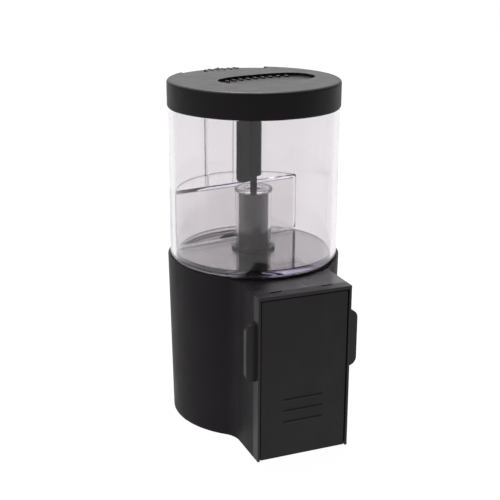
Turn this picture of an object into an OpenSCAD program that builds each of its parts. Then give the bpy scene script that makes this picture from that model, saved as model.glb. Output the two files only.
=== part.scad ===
// Automatic fish feeder: a clear hopper over a dosing disc, on a battery powered base.
// The origin is the centre of the underside, below the hopper's axis. +Z is up.
// The battery box stands out towards -Y and the food outlet is at +Y.

/* [Overall] */
// Height from the underside to the top of the lid
total_h = 151.2; // [150:0.2:156]
// Height of the base, up to the rim that holds the hopper
base_h = 73.5; // [73.4:0.1:74]
// Outer radius of the lid
lid_r = 37.5; // [37.5:0.1:38]

/* [Base] */
// Outer radius of the base at its rim
base_rim_r = 38.2; // [38.1:0.1:38.6]
// Outer radius of the base at its underside
base_foot_r = 36.85; // [36.6:0.05:37.4]
// Thickness of the base's walls
base_wall = 2.2; // [1.8:0.1:2.4]
// Thickness of the deck under the dosing disc
deck_t = 3; // [2.6:0.1:3.2]
// Thickness of the plate that closes the underside
bottom_t = 2.4; // [2:0.1:2.8]
// Radius of the soft fillet where the box joins the round base
box_fillet_r = 10; // [6:1:12]

/* [Battery box] */
// Width of the battery box
box_w = 41.7; // [41:0.1:43]
// Distance from the axis to the front of the box
box_front = 55.9; // [55:0.1:58]
// Height of the battery box
box_h = 72.95; // [72.5:0.05:73.4]
// Depth of the frame around the battery cover
frame_d = 5; // [4.6:0.1:5.4]
// Width of the frame's edge beside the cover
bezel_side = 1; // [0.8:0.1:1.2]
// Width of the frame's edge above the cover
bezel_top = 1.5; // [1.2:0.1:2]
// How far each ear stands out from the side of the box
ear_out = 4.35; // [3:0.05:6]
// Height of each ear
ear_h = 25; // [20:1:30]
// Number of grip ribs on the battery cover
grip_ribs = 3; // [2:1:4]

/* [Hopper] */
// Outer radius of the clear hopper
hopper_r = 37.1; // [37:0.05:37.3]
// Thickness of the hopper's wall
hopper_wall = 2.3; // [2:0.1:2.4]
// Turn of the hopper on the base, in degrees
hopper_turn = 8.5; // [0:0.5:12]
// Distance from the axis to the front of the outlet chamber
chamber_y = 13.6; // [13:0.1:16]
// Height of the top of the outlet chamber
chamber_top = 102.4; // [98:0.2:104]

/* [Lid] */
// Height of the lid
lid_h = 11.2; // [11:0.1:12]
// Turn of the lid on the hopper, in degrees
lid_turn = 5; // [0:0.5:12]
// Length of the finger recess
recess_l = 45.2; // [40:0.2:46]
// Width of the finger recess
recess_w = 23.4; // [20:0.2:24]
// Depth of the finger recess
recess_d = 1.5; // [1.2:0.1:2]

/* [Dosing] */
// Thickness of the dosing disc
disc_t = 2.5; // [2.2:0.1:2.6]
// Radius of the spindle that stands on the disc
spindle_r = 6.6; // [6:0.1:6.8]
// Distance from the axis to the outlet
outlet_y = 24; // [23:0.5:25]
// Inner radius of the outlet chute
chute_r = 6.6; // [6:0.1:6.8]
// Direction of the stirrer's blade at rest, in degrees
stirrer_turn = 202; // [0:1:359]

/* [Gear train] */
// Module of the gear teeth
gear_m = 0.8; // [0.75:0.05:0.8]
// Teeth on the output gear
output_teeth = 38; // [36:1:38]
// Teeth on the compound gear's wheel
wheel_teeth = 30; // [28:1:30]
// Teeth on the compound gear's pinion, and on the motor's
pinion_teeth = 12; // [12:1:13]
// Direction of the compound gear from the drive shaft, in degrees
compound_dir = 200; // [195:1:205]
// Direction of the motor from the compound gear, in degrees
motor_dir = -40; // [-45:1:-35]

/* [Controls] */
// Radius of the feed button
button_r = 4.5; // [4:0.1:5]
// Travel of the feed button
button_travel = 0.9; // [0.5:0.1:0.9]

/* [Hidden] */
$fn = 64;

// Overlap that keeps cuts and joins clean
eps = 0.01;
// Gap between parts that lie side by side
gap = 0.3;
// Radial clearance of a shaft that turns in its bearing
run = 0.05;

// Colours
black = [0.17, 0.165, 0.17];
dark_grey = [0.3, 0.29, 0.3];
clear = [0.85, 0.85, 0.95, 0.35];
steel = [0.7, 0.7, 0.72];
brass = [0.78, 0.62, 0.3];
white_plastic = [0.9, 0.9, 0.86];

// Levels of the deck and of the groove that the hopper stands in
disc_gap = 0.3;
disc_top = base_h + disc_t;
deck_top = base_h - disc_gap;
deck_under = deck_top - deck_t;
groove_floor = deck_top - 4.9;
groove_in_r = hopper_r - hopper_wall - gap;
groove_out_r = hopper_r - 0.35;
collar_under = groove_floor - 2.5;
collar_r = groove_in_r - 1;

// Battery box
box_x = box_w / 2;
box_wall = 1.8;
seam_y = -(box_front - frame_d);
fillet_x = box_x + box_fillet_r;
fillet_y = -sqrt(pow(base_foot_r + box_fillet_r, 2) - pow(fillet_x, 2));
cover_front_y = -(box_front - 0.4);
cover_back_y = cover_front_y + 1.55;
cover_x = box_x - bezel_side - 0.5;
cover_top = box_h - bezel_top - 0.5;
cover_foot = 0.15;
guide_x = cover_x - 1;
window_x = guide_x - 1.35;
ledge_y = cover_back_y + 0.05;
tray_x = window_x - 0.1;
tray_back_y = -33.4;
tray_foot = bottom_t + 0.1;
tray_top = 65.5;
tray_wall = 1.3;
saddle_t = 1;

// Standing cells, one each way up
cell_r = 7.15;
cell_l = 50.5;
cell_x = 7.9;
cell_y = -42.6;
nub_r = 2.7;
nub_h = 1;
contact_t = 0.4;
contact_x = 5;
contact_y = 5.5;
contact_low = tray_foot + tray_wall + 1.5;
contact_high = tray_top - tray_wall;
spring_l = 5.8;
spring_rings = 5;
spring_wide_r = 3.75;
spring_step = 0.25;
wire_r = 0.35;

// Outlet chute
chute_wall = 1.4;

// Gear train, from the drive shaft to the motor
pressure_angle = 25;
backlash = 0.05;
output_dist = gear_m * (output_teeth + pinion_teeth) / 2;
wheel_dist = gear_m * (wheel_teeth + pinion_teeth) / 2;
compound_x = output_dist * cos(compound_dir);
compound_y = output_dist * sin(compound_dir);
motor_x = compound_x + wheel_dist * cos(motor_dir);
motor_y = compound_y + wheel_dist * sin(motor_dir);
wheel_turn = mesh_turn(0, compound_dir, output_teeth, pinion_teeth);
pinion_turn = mesh_turn(wheel_turn, motor_dir, wheel_teeth, pinion_teeth);
lower_plate_z = 46;
upper_plate_z = 65.2;
plate_t = 2;
plate_r = 32;
plate_rear_y = 14.3;
post_r = 30;
post_dirs = [20, 160, 235, 340];
output_z = 58;
output_t = 6;
wheel_z = 51.5;
wheel_t = 5.5;
shaft_r = 2.5;
shaft_foot = 43;
shaft_top = 90;
axle_r = 1;
bushing_r = 4.48;
deck_bushing_r = 4.98;
hub_r = 5;
spacer_r = 2.6;
motor_can_r = 10;
motor_foot = 20;
motor_head = 44;
motor_boss_r = 3;
motor_screw_x = 6.5;
motor_screw_r = 0.85;
motor_screw_foot = 41;
motor_pad_r = 1.8;
motor_cap_r = 6;
motor_cap_t = 1.5;
motor_shaft_foot = 30.5;

// Bosses for the bottom cover's screws
boss_r = 3.2;
boss_ring = 30.3;
boss_rib_t = 2.4;
boss_foot = bottom_t + 0.1;
boss_top = 18;
boss_dirs = [45, 135, 225, 315];
screw_r = 1.1;
screw_head_r = 2.4;
screw_head_t = 1.2;
screw_l = 12;

// Spindle, sleeve and stirrer
sleeve_bore_r = spindle_r + 0.35;
sleeve_r = 8.1;
sleeve_foot_r = 9.75;
sleeve_collar_r = 8.4;
sleeve_top = chamber_top + 1.1;
spindle_top = sleeve_top - 1.5;
plug_r = 3;
plug_foot = shaft_top + 2;
sleeve_hole_r = 3.9;
stem_low_r = 1.5;
stem_high_r = 3.4;
stem_step = 109;
blade_out = 9.4;
blade_t = 2.2;
blade_foot = 106.8;
blade_top = 137.5;
journal_r = 2.5;

// Hopper
hopper_in_r = hopper_r - hopper_wall;
hopper_foot = groove_floor + 1.5;
lid_foot = total_h - lid_h;
shoulder_z = lid_foot - 0.15;
neck_r = 36;
neck_top = lid_foot + 6;
chamber_wall = 1.8;
roof_t = 1.6;
doctor_gap = 0.6;
rib_dirs = [-15, 10];

// Lid
lid_edge = 1.3;
lid_top_t = 2.8;
lid_under = total_h - lid_top_t;
skirt_in_r = neck_r + 0.4;
plug_ring_r = hopper_in_r - gap;
plug_ring_foot = lid_foot + 1.5;
journal_boss_r = 5.5;
journal_boss_foot = lid_foot - 1;
recess_x = 5.25;
recess_y = -2.05;
recess_turn = 10;
recess_power = 2.65;
recess_floor = total_h - recess_d;
recess_ribs = 9;
recess_rib_pitch = 3.8;
recess_rib_l = 3;
recess_rib_w = 1.5;
recess_rib_h = 0.7;
recess_rib_gap = 0.6;
thumb_y = 26;
thumb_x = 21;
thumb_d = 0.8;
tab_x = 8.8;
tab_y = 32.8;
tab_ribs = 5;
tab_rib_h = 0.4;

// Controls on the +X side
switch_face = 32.5;
board_x = 29.4;
board_t = 1.6;
board_half = 12;
board_clip = 3;
board_clip_top = 11;
chip_w = 8;
chip_h = 10;
chip_t = 1.5;
chip_z = 12;
capacitor_r = 2.5;
capacitor_l = 5;
board_top = 44.2;
button_z = 30;
led_z = 40.5;
button_in_x = switch_face + button_travel + 0.5;
button_flange_r = 6;
button_flange_t = 0.6;
button_out_x = 38.6;
led_r = 1.5;
led_out_x = 38;

// Rotation that puts a gear in mesh with its driver, which lies the other way along dir
function mesh_turn(driver_turn, dir, driver_teeth, teeth) =
    dir + 180 + 180 / teeth + (dir - driver_turn) * driver_teeth / teeth;

// Involute angle at radius r of a gear whose base radius is rb, in degrees
function involute(r, rb) = r <= rb ? 0 : sqrt(pow(r / rb, 2) - 1) * 180 / PI - acos(rb / r);

// Half the angle that a tooth takes at radius r
function half_tooth(r, n) = 90 / n - backlash / (gear_m * n / 2) * 180 / PI
    + involute(gear_m * n / 2, gear_m * n / 2 * cos(pressure_angle))
    - involute(r, gear_m * n / 2 * cos(pressure_angle));

module gear_outline(n, turn) {
    pitch_r = gear_m * n / 2;
    base_r = pitch_r * cos(pressure_angle);
    root_r = pitch_r - 1.2 * gear_m;
    tip_r = pitch_r + 0.95 * gear_m;
    first_r = max(base_r, root_r);
    steps = 3;
    radii = [root_r, for (i = [0 : steps]) first_r + (tip_r - first_r) * i / steps];
    last = len(radii) - 1;
    polygon([for (tooth = [0 : n - 1]) let (mid = turn + 360 * tooth / n) each concat(
        [for (i = [0 : last]) radii[i] * [cos(mid - half_tooth(radii[i], n)),
            sin(mid - half_tooth(radii[i], n))]],
        [for (i = [last : -1 : 0]) radii[i] * [cos(mid + half_tooth(radii[i], n)),
            sin(mid + half_tooth(radii[i], n))]])]);
}

// A ring from z to z + h
module ring(r_out, r_in, z, h) {
    translate([0, 0, z]) difference() {
        cylinder(r = r_out, h = h);
        translate([0, 0, -eps]) cylinder(r = r_in, h = h + 2 * eps);
    }
}

// A cylinder from z to z + h
module rod(r, z, h) {
    translate([0, 0, z]) cylinder(r = r, h = h);
}

// A block between two corners
module block(low, high) {
    translate(low) cube(high - low);
}

// Children at a radius, once in each direction
module at_dirs(dirs, radius) {
    for (dir = dirs) rotate([0, 0, dir]) translate([radius, 0, 0]) children();
}

// A flat slot shape with round ends, along X
module stadium(length, width) {
    straight = length - width;
    square([straight, width], center = true);
    for (side = [-1, 1]) translate([side * straight / 2, 0]) circle(d = width);
}

// Plan of the box body behind the frame, with a fillet to the round base on each side
module box_plan() {
    tangent = base_foot_r / (base_foot_r + box_fillet_r);
    difference() {
        polygon([[-box_x, seam_y], [box_x, seam_y], [box_x, fillet_y],
            [fillet_x * tangent, fillet_y * tangent], [0, 0],
            [-fillet_x * tangent, fillet_y * tangent], [-box_x, fillet_y]]);
        for (side = [-1, 1]) translate([side * fillet_x, fillet_y]) circle(r = box_fillet_r);
    }
}

module base_housing() {
    box_back_y = -(base_rim_r + 0.6);
    box_inner_x = box_x - box_wall;
    box_roof_t = 1.95;
    post_boss_r = 3;
    wall_hole_l = 12;
    color(black) difference() {
        union() {
            cylinder(r1 = base_foot_r, r2 = base_rim_r, h = base_h);
            linear_extrude(box_h) box_plan();
        }
        // Inside of the round base
        translate([0, 0, -eps])
            cylinder(r1 = base_foot_r - base_wall, r2 = base_rim_r - base_wall - 0.15,
                h = collar_under + eps);
        rod(collar_r, collar_under - eps, deck_under - collar_under + eps);
        // Seat and groove for the hopper
        rod(groove_out_r, deck_top, base_h - deck_top + 1);
        ring(groove_out_r, groove_in_r, groove_floor, base_h - groove_floor + 1);
        // Battery compartment
        block([-box_inner_x, seam_y - 1, -1], [box_inner_x, box_back_y, box_h - box_roof_t]);
        block([-box_inner_x, box_back_y - eps, -1], [box_inner_x, tray_back_y + 8, collar_under]);
        // Shaft, outlet, button and light
        rod(deck_bushing_r + 0.02, deck_under - 1, deck_t + 2);
        translate([0, outlet_y, 0]) rod(chute_r + 0.4, deck_under - 1, deck_t + 2);
        translate([board_x, 0, button_z]) rotate([0, 90, 0])
            cylinder(r = button_r + gap, h = wall_hole_l);
        translate([board_x, 0, led_z]) rotate([0, 90, 0])
            cylinder(r = led_r + 0.1, h = wall_hole_l);
    }
    // Bosses for the bottom cover and for the gear plates
    color(black) difference() {
        union() {
            at_dirs(boss_dirs, boss_ring) {
                rod(boss_r, boss_foot, boss_top);
                block([0, -boss_rib_t / 2, boss_foot],
                    [base_foot_r - boss_ring - 0.5, boss_rib_t / 2, boss_foot + boss_top]);
            }
            at_dirs(post_dirs, post_r) rod(post_boss_r, upper_plate_z + plate_t,
                deck_under - upper_plate_z - plate_t + 1);
        }
        at_dirs(boss_dirs, boss_ring) rod(screw_r + run, 0, boss_top - 2);
        at_dirs(post_dirs, post_r) rod(screw_r + run, upper_plate_z, deck_under - upper_plate_z);
    }
}

module bottom_cover() {
    clip_x = [board_x - 1.2, board_x + board_t + 0.5];
    clip_y = board_half + 0.2;
    counterbore = 1.4;
    color(black) difference() {
        union() {
            linear_extrude(bottom_t) {
                circle(r = base_foot_r - base_wall - gap);
                translate([-box_x + box_wall + gap, seam_y + 0.1])
                    square([box_w - 2 * box_wall - 2 * gap, -seam_y]);
            }
            // Clips that hold the circuit board upright
            for (side = [-1, 1])
                block([clip_x[0], side * clip_y - board_clip / 2, bottom_t - eps],
                    [clip_x[1], side * clip_y + board_clip / 2, board_clip_top]);
        }
        translate([0, outlet_y, 0]) rod(chute_r + 0.6, -1, bottom_t + 2);
        at_dirs(boss_dirs, boss_ring) {
            rod(screw_r + 0.3, -1, bottom_t + 2);
            rod(screw_head_r + gap, -1, counterbore + 1);
        }
        block([board_x - 0.1, -board_half - 0.1, bottom_t],
            [board_x + board_t + 0.1, board_half + 0.1, board_clip_top + 1]);
    }
}

module cover_screws() {
    color(steel) at_dirs(boss_dirs, boss_ring) {
        rod(screw_head_r, 0.2, screw_head_t);
        rod(screw_r, 0.2 + screw_head_t - eps, screw_l);
    }
}

module battery_frame() {
    slot_mid_x = 11.3;
    slot_w = 5;
    slot_d = 1.2;
    slot_y = seam_y - 0.2;
    ear_mid = 48.5;
    ear_round = 3.5;
    ear_t = 2.6;
    notch = 1;
    notch_z = ear_mid + ear_h / 2 + 0.1;
    track_w = 1;
    track_d = 1.4;
    color(black) difference() {
        union() {
            block([-box_x, -box_front, 0], [box_x, seam_y, box_h]);
            for (side = [-1, 1]) translate([side * (box_x - 2), seam_y, ear_mid])
                rotate([90, 0, 0]) linear_extrude(ear_t)
                    translate([side < 0 ? -(ear_out + 2) : 0, -ear_h / 2])
                        ear_plan(ear_out + 2, ear_h, ear_round, side);
        }
        // Recess for the cover, open at the underside
        block([-cover_x - 0.5, -box_front - 1, -1],
            [cover_x + 0.5, ledge_y, box_h - bezel_top]);
        // Window to the cells
        block([-window_x, -box_front - 1, bottom_t], [window_x, seam_y + 1, tray_top + 1]);
        for (side = [-1, 1]) {
            // Track for the cover's guide
            block([side * guide_x - track_w / 2, ledge_y - 1, -1],
                [side * guide_x + track_w / 2, ledge_y + track_d, cover_top]);
            // Slots over the snap hooks, and a notch above each ear
            block([side * slot_mid_x - slot_w / 2, slot_y - 1, box_h - slot_d],
                [side * slot_mid_x + slot_w / 2, slot_y, box_h + 1]);
            block([side * box_x - 0.6, slot_y - notch, notch_z],
                [side * box_x + 0.6, slot_y, notch_z + notch]);
        }
    }
}

// An ear with two round corners on its outer side
module ear_plan(w, h, r, side) {
    mirror([side < 0 ? 1 : 0, 0]) translate([side < 0 ? -w : 0, 0]) {
        square([w - r, h]);
        translate([0, r]) square([w, h - 2 * r]);
        for (y = [r, h - r]) translate([w - r, y]) circle(r = r);
    }
}

module battery_cover() {
    rib_w = 18.2;
    rib_h = 1.1;
    rib_low = 15.8;
    rib_pitch = 5.1;
    rib_proud = 0.35;
    guide_t = 0.6;
    guide_d = 1.1;
    color(black) {
        block([-cover_x, cover_front_y, cover_foot], [cover_x, cover_back_y, cover_top]);
        for (i = [0 : grip_ribs - 1])
            translate([0, cover_front_y + eps, rib_low + i * rib_pitch])
                rotate([90, 0, 0]) linear_extrude(rib_proud) stadium(rib_w, rib_h);
        for (side = [-1, 1])
            block([side * guide_x - guide_t / 2, cover_back_y - eps, cover_foot + 2],
                [side * guide_x + guide_t / 2, cover_back_y + guide_d, cover_top - 8]);
    }
}

module battery_tray() {
    color(black) difference() {
        block([-tray_x, seam_y + 0.05, tray_foot], [tray_x, tray_back_y, tray_top]);
        block([-tray_x + tray_wall, seam_y - 1, contact_low - contact_t],
            [tray_x - tray_wall, tray_back_y - tray_wall, contact_high]);
    }
    // Saddle between the two cells
    color(black) block([-saddle_t / 2, cell_y + 4, contact_low],
        [saddle_t / 2, tray_back_y - tray_wall + eps, contact_high - 4]);
}

// One cell with its nub at the top
module cell() {
    cylinder(r = cell_r, h = cell_l - nub_h);
    rod(nub_r, cell_l - nub_h - eps, nub_h + eps);
}

module battery_cells() {
    color(dark_grey) {
        translate([-cell_x, cell_y, contact_low + spring_l]) cell();
        translate([cell_x, cell_y, contact_high - contact_t - spring_l]) mirror([0, 0, 1]) cell();
    }
}

module contact_plates() {
    color(steel) for (side = [-1, 1]) translate([side * cell_x, cell_y, 0]) {
        block([-contact_x, -contact_y, contact_low - contact_t],
            [contact_x, contact_y, contact_low]);
        block([-contact_x, -contact_y, contact_high - contact_t],
            [contact_x, contact_y, contact_high]);
    }
    color(steel) {
        translate([-cell_x, cell_y, 0])
            rod(nub_r, contact_low + spring_l + cell_l, contact_high - contact_t
                - contact_low - spring_l - cell_l + eps);
        translate([cell_x, cell_y, 0])
            rod(nub_r, contact_low - eps, contact_high - contact_t - spring_l - cell_l
                - contact_low + eps);
    }
}

module contact_springs() {
    pitch = (spring_l - 2 * wire_r) / (spring_rings - 1);
    lows = [contact_low, contact_high - contact_t - spring_l];
    color(steel) for (side = [0, 1]) for (i = [0 : spring_rings - 1])
        translate([(2 * side - 1) * cell_x, cell_y, lows[side] + wire_r + i * pitch])
            rotate_extrude($fn = 40)
                translate([spring_wide_r - spring_step * abs(side * (spring_rings - 1) - i), 0])
                    circle(r = wire_r, $fn = 16);
}

module circuit_board() {
    color([0.1, 0.35, 0.2]) block([board_x, -board_half, bottom_t + 0.05],
        [board_x + board_t, board_half, board_top]);
    // Chip and two capacitors on the inner face
    color(dark_grey) {
        block([board_x - chip_t, -chip_w / 2, chip_z], [board_x + eps, chip_w / 2, chip_z + chip_h]);
        for (y = [-8, 8]) translate([board_x - capacitor_l, y, button_z]) rotate([0, 90, 0])
            cylinder(r = capacitor_r, h = capacitor_l + eps);
    }
}

module tact_switch() {
    case_half = 3;
    case_face = switch_face - 0.6;
    color(dark_grey) block([board_x + board_t, -case_half, button_z - case_half],
        [case_face, case_half, button_z + case_half]);
    color(dark_grey) translate([case_face - eps, 0, button_z]) rotate([0, 90, 0])
        cylinder(r = 1.5, h = switch_face - case_face + eps);
}

module status_led() {
    color([0.9, 0.25, 0.2]) translate([board_x + board_t, 0, led_z]) rotate([0, 90, 0])
        cylinder(r = led_r, h = led_out_x - board_x - board_t);
}

module feed_button() {
    edge = 0.6;
    color(dark_grey) translate([0, 0, button_z]) rotate([0, 90, 0]) {
        rod(button_flange_r, button_in_x, button_flange_t);
        rod(button_r, button_in_x, button_out_x - button_in_x - edge);
        translate([0, 0, button_out_x - edge - eps])
            cylinder(r1 = button_r, r2 = button_r - edge, h = edge + eps);
    }
}

module motor() {
    color(steel) translate([motor_x, motor_y, 0]) difference() {
        union() {
            rod(motor_can_r, motor_foot, motor_head - motor_foot);
            rod(motor_boss_r, motor_head - eps, lower_plate_z - motor_head + eps);
            rod(motor_cap_r, motor_foot - motor_cap_t, motor_cap_t + eps);
            for (side = [-1, 1]) translate([side * motor_screw_x, 0, 0])
                rod(motor_pad_r, motor_head - eps, lower_plate_z - motor_head + eps);
        }
        rod(axle_r + run, motor_shaft_foot - 0.5, motor_head);
        for (side = [-1, 1]) translate([side * motor_screw_x, 0, 0])
            rod(motor_screw_r + run, motor_screw_foot - 1, motor_head);
    }
}

module motor_shaft() {
    color(steel) translate([motor_x, motor_y, 0])
        rod(axle_r, motor_shaft_foot, output_z - motor_shaft_foot);
}

module motor_pinion() {
    color(white_plastic) translate([motor_x, motor_y, 0]) difference() {
        translate([0, 0, wheel_z - 0.5]) linear_extrude(wheel_t + 0.5)
            gear_outline(pinion_teeth, pinion_turn);
        rod(axle_r + 0.02, wheel_z - 1, wheel_t + 2);
    }
}

module motor_screws() {
    color(steel) for (side = [-1, 1]) translate([motor_x + side * motor_screw_x, motor_y, 0]) {
        rod(motor_screw_r, motor_screw_foot, lower_plate_z + plate_t - motor_screw_foot + eps);
        rod(2 * motor_screw_r, lower_plate_z + plate_t, 1);
    }
}

// Plan of a gear plate, cut back for the outlet chute and the cells
module plate_plan() {
    intersection() {
        circle(r = plate_r);
        translate([-plate_r, -plate_r]) square([2 * plate_r, plate_r + plate_rear_y]);
    }
}

module lower_gear_plate() {
    color(dark_grey) translate([0, 0, lower_plate_z]) difference() {
        linear_extrude(plate_t) plate_plan();
        rod(bushing_r + 0.02, -1, plate_t + 2);
        at_dirs(post_dirs, post_r) rod(screw_r + 0.1, -1, plate_t + 2);
        translate([compound_x, compound_y, 0]) rod(axle_r + 0.02, -1, plate_t + 2);
        translate([motor_x, motor_y, 0]) {
            rod(axle_r + 0.5, -1, plate_t + 2);
            for (side = [-1, 1]) translate([side * motor_screw_x, 0, 0])
                rod(motor_screw_r + 0.15, -1, plate_t + 2);
        }
    }
}

module upper_gear_plate() {
    color(dark_grey) translate([0, 0, upper_plate_z]) difference() {
        linear_extrude(plate_t) plate_plan();
        rod(shaft_r + 0.5, -1, plate_t + 2);
        at_dirs(post_dirs, post_r) rod(screw_r + 0.1, -1, plate_t + 2);
        translate([compound_x, compound_y, 0]) rod(axle_r + 0.02, -1, plate_t + 2);
    }
}

module plate_spacers() {
    color(white_plastic) at_dirs(post_dirs, post_r)
        ring(spacer_r, screw_r + 0.1, lower_plate_z + plate_t,
            upper_plate_z - lower_plate_z - plate_t);
}

module plate_screws() {
    color(steel) at_dirs(post_dirs, post_r) {
        rod(screw_head_r, lower_plate_z - 1.5, 1.5);
        rod(screw_r, lower_plate_z - eps, deck_under - lower_plate_z - 0.5);
    }
}

module gear_axle() {
    color(steel) translate([compound_x, compound_y, 0])
        rod(axle_r, lower_plate_z, upper_plate_z + plate_t - lower_plate_z);
}

module compound_gear() {
    color(white_plastic) translate([compound_x, compound_y, 0]) difference() {
        union() {
            translate([0, 0, wheel_z]) linear_extrude(wheel_t - 0.5)
                gear_outline(wheel_teeth, wheel_turn);
            translate([0, 0, wheel_z + wheel_t - 0.5 - eps])
                linear_extrude(output_z + output_t - wheel_z - wheel_t + 0.5)
                    gear_outline(pinion_teeth, wheel_turn);
            rod(2, lower_plate_z + plate_t + gap, wheel_z - lower_plate_z - plate_t);
        }
        rod(axle_r + run, lower_plate_z, 30);
    }
}

module output_gear() {
    color(white_plastic) difference() {
        union() {
            translate([0, 0, output_z]) linear_extrude(output_t - 1) gear_outline(output_teeth, 0);
            rod(hub_r, output_z - 3, output_t + 4);
        }
        rod(shaft_r + 0.02, output_z - 4, output_t + 6);
    }
}

module drive_shaft() {
    color(steel) rod(shaft_r, shaft_foot, shaft_top - shaft_foot);
}

module shaft_clip() {
    color(steel) ring(4.2, shaft_r + 0.02, lower_plate_z - 2.2, 0.8);
}

module shaft_bushings() {
    color(brass) {
        ring(bushing_r, shaft_r + run, lower_plate_z - 1, plate_t + 2);
        ring(deck_bushing_r, shaft_r + run, deck_under - 1.2, deck_t + 1.2);
    }
}

module dosing_disc() {
    pocket_r = hopper_in_r - 2.4;
    color(clear) difference() {
        rod(hopper_in_r - 2 * gap, base_h, disc_t);
        rod(shaft_r + 0.02, base_h - 1, disc_t + 2);
        // Straight-sided pocket that carries one portion
        rotate([0, 0, hopper_turn]) intersection() {
            rod(pocket_r, base_h - 1, disc_t + 2);
            block([-pocket_r, chamber_y + 1.5, base_h - 1], [pocket_r, pocket_r, disc_top + 1]);
        }
    }
}

module spindle() {
    color(dark_grey) difference() {
        union() {
            rod(spindle_r, disc_top, spindle_top - disc_top - 0.5);
            translate([0, 0, spindle_top - 0.5 - eps])
                cylinder(r1 = spindle_r, r2 = spindle_r - 0.5, h = 0.5 + eps);
        }
        rod(shaft_r + 0.02, disc_top - 1, shaft_top - disc_top + 1.3);
        rod(plug_r + 0.02, plug_foot - 0.2, spindle_top);
    }
}

module spindle_sleeve() {
    collar_t = 1.3;
    color(clear) difference() {
        union() {
            rod(sleeve_r, disc_top, sleeve_top - disc_top);
            rod(sleeve_foot_r, disc_top, 1.2);
            rod(sleeve_collar_r, sleeve_top - collar_t, collar_t);
        }
        rod(sleeve_bore_r, disc_top - 1, sleeve_top - disc_top + 1 - 1.2);
        rod(sleeve_hole_r, sleeve_top - 2, 3);
    }
}

module stirrer() {
    color(black) {
        rod(plug_r, plug_foot, spindle_top - plug_foot + eps);
        rod(stem_low_r, spindle_top, stem_step - spindle_top + eps);
        rod(stem_high_r, stem_step, journal_boss_foot - gap - stem_step);
        rod(journal_r, journal_boss_foot - gap - eps, 6);
        rotate([0, 0, stirrer_turn])
            block([0, -blade_t / 2, blade_foot], [blade_out, blade_t / 2, blade_top]);
    }
}

module outlet_chute() {
    color(black) translate([0, outlet_y, 0]) difference() {
        union() {
            rod(chute_r + chute_wall, bottom_t + 0.1, deck_under - bottom_t - 0.1);
            rod(chute_r + chute_wall + 1, deck_under - 3, 3);
        }
        rod(chute_r, 0, base_h);
    }
}

module hopper() {
    color(clear) rotate([0, 0, hopper_turn]) {
        rotate_extrude($fn = 96) polygon([[groove_out_r - 0.2, hopper_foot],
            [groove_out_r - 0.2, base_h + 0.1], [hopper_r, base_h + 0.1],
            [hopper_r, shoulder_z - 0.3], [hopper_r - 0.3, shoulder_z], [neck_r, shoulder_z],
            [neck_r, neck_top], [hopper_in_r, neck_top], [hopper_in_r, hopper_foot]]);
        // Outlet chamber: front wall and roof
        intersection() {
            rod(hopper_in_r + 1, disc_top, chamber_top - disc_top);
            union() {
                block([-hopper_r, chamber_y, disc_top + doctor_gap],
                    [hopper_r, chamber_y + chamber_wall, chamber_top]);
                block([-hopper_r, chamber_y, chamber_top - roof_t],
                    [hopper_r, hopper_r, chamber_top]);
            }
        }
        // Two stiffening ribs on the rear wall
        for (dir = rib_dirs) rotate([0, 0, 90 + dir])
            block([hopper_in_r - 2, -0.5, chamber_top - eps], [hopper_in_r + 0.5, 0.5,
                shoulder_z - 3]);
    }
}

module hopper_seal() {
    color(dark_grey) ring(groove_out_r - 0.3, groove_in_r + 0.4, groove_floor, 1.4);
}

// Distance from the recess's long axis to its edge, at a distance along that axis
function recess_reach(along) =
    recess_w / 2 * pow(1 - pow(abs(along) * 2 / recess_l, recess_power), 1 / recess_power);

// Oval plan of the finger recess
module recess_plan() {
    power = 2 / recess_power;
    polygon([for (t = [2.5 : 5 : 360])
        [sign(cos(t)) * recess_l / 2 * pow(abs(cos(t)), power),
            sign(sin(t)) * recess_w / 2 * pow(abs(sin(t)), power)]]);
}

// Moves a shape from the recess's own axes into the lid's
module at_recess(z) {
    rotate([0, 0, -lid_turn]) translate([recess_x, recess_y, z]) rotate([0, 0, recess_turn])
        children();
}

module lid() {
    color(black) rotate([0, 0, lid_turn]) difference() {
        union() {
            rotate_extrude($fn = 96) {
                polygon([[lid_r, lid_foot], [lid_r, total_h - lid_edge], [lid_r - lid_edge,
                    total_h - lid_edge], [lid_r - lid_edge, total_h], [0, total_h],
                    [0, lid_under], [skirt_in_r, lid_under], [skirt_in_r, lid_foot]]);
                intersection() {
                    translate([lid_r - lid_edge, total_h - lid_edge]) circle(r = lid_edge);
                    square([lid_r, total_h]);
                }
            }
            ring(plug_ring_r, plug_ring_r - 1.6, plug_ring_foot, lid_under - plug_ring_foot + eps);
            rod(journal_boss_r, journal_boss_foot, lid_under - journal_boss_foot + eps);
        }
        // Finger recess
        at_recess(recess_floor) difference() {
            linear_extrude(recess_d + 1) recess_plan();
            for (i = [0 : recess_ribs - 1])
                let (along = (i - (recess_ribs - 1) / 2) * recess_rib_pitch)
                    translate([along, recess_reach(along) - recess_rib_gap - recess_rib_l / 2, -1])
                        linear_extrude(recess_rib_h + 1) rotate(90)
                            stadium(recess_rib_l, recess_rib_w);
        }
        // Low step at the rear, on both sides of the thumb tab
        translate([0, 0, total_h - thumb_d]) linear_extrude(thumb_d + 1) difference() {
            translate([-thumb_x, thumb_y]) square([2 * thumb_x, lid_r]);
            translate([-tab_x, 0]) square([2 * tab_x, tab_y]);
        }
        // Bearing for the stirrer
        rod(journal_r + run, journal_boss_foot - 1, 7.5);
    }
    // Grip ribs on the thumb tab
    color(black) rotate([0, 0, lid_turn]) for (i = [0 : tab_ribs - 1])
        translate([(i - (tab_ribs - 1) / 2) * 3.1, (thumb_y + tab_y) / 2 + 0.6, total_h - eps])
            linear_extrude(tab_rib_h) rotate(90) stadium(4.6, 1.1);
}

module lid_seal() {
    color(dark_grey) ring(neck_r - 0.1, hopper_in_r + 0.1, neck_top + 0.1, lid_under - neck_top - 0.1);
}

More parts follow.
